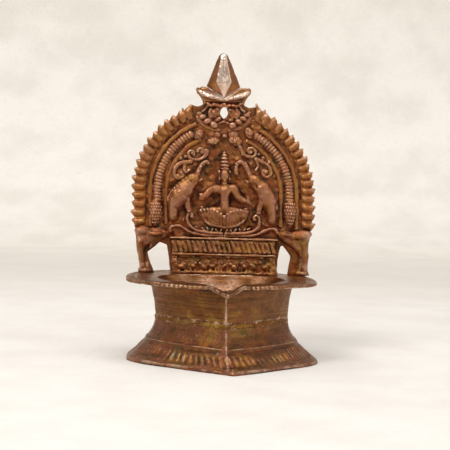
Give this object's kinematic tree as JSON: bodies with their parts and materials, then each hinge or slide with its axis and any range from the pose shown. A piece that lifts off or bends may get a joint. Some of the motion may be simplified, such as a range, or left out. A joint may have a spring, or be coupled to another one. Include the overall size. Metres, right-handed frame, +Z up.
{
  "type": "diya oil lamp",
  "caption": "Small cast bronze oil lamp: leaf-shaped bowl with a spout on a waisted hollow stand, with an arched back plate of temple reliefs and a pointed finial.",
  "frame": {"origin": "middle of the bounding box in plan, on the plane the stand rests on", "axes": "+Z up; -Y towards the spout, the front; +X to the right of a viewer facing the front"},
  "size_m": [0.0726, 0.072, 0.1172],
  "materials": {
    "cast_body": "satin",
    "cast_plate": "satin",
    "relief": "satin",
    "throne_metal": "satin",
    "worn_metal": "satin",
    "braze": "satin",
    "rivet_metal": "satin"
  },
  "bodies": {
    "root": {"foot": "cast_body", "bowl": "cast_body", "waist_braze": "braze", "back_plate": "cast_plate", "leg_rivets": "rivet_metal", "rays_left": "cast_plate", "rays_right": "cast_plate", "outer_moulding": "cast_plate", "inner_moulding": "cast_plate", "garland_left": "relief", "garland_right": "relief", "tassel_left": "relief", "tassel_right": "relief", "scroll_left": "relief", "scroll_right": "relief", "elephant_left": "relief", "elephant_right": "relief", "goddess": "relief", "lotus_seat": "relief", "vine_left": "relief", "vine_right": "relief", "throne_cornice": "throne_metal", "throne_petals": "throne_metal", "throne_band": "throne_metal", "throne_frieze": "throne_metal", "crest_mask": "relief", "crest_beads": "relief", "crest_lobes": "relief", "finial_collar": "worn_metal", "finial_bud": "worn_metal"}
  },
  "joints": []
}
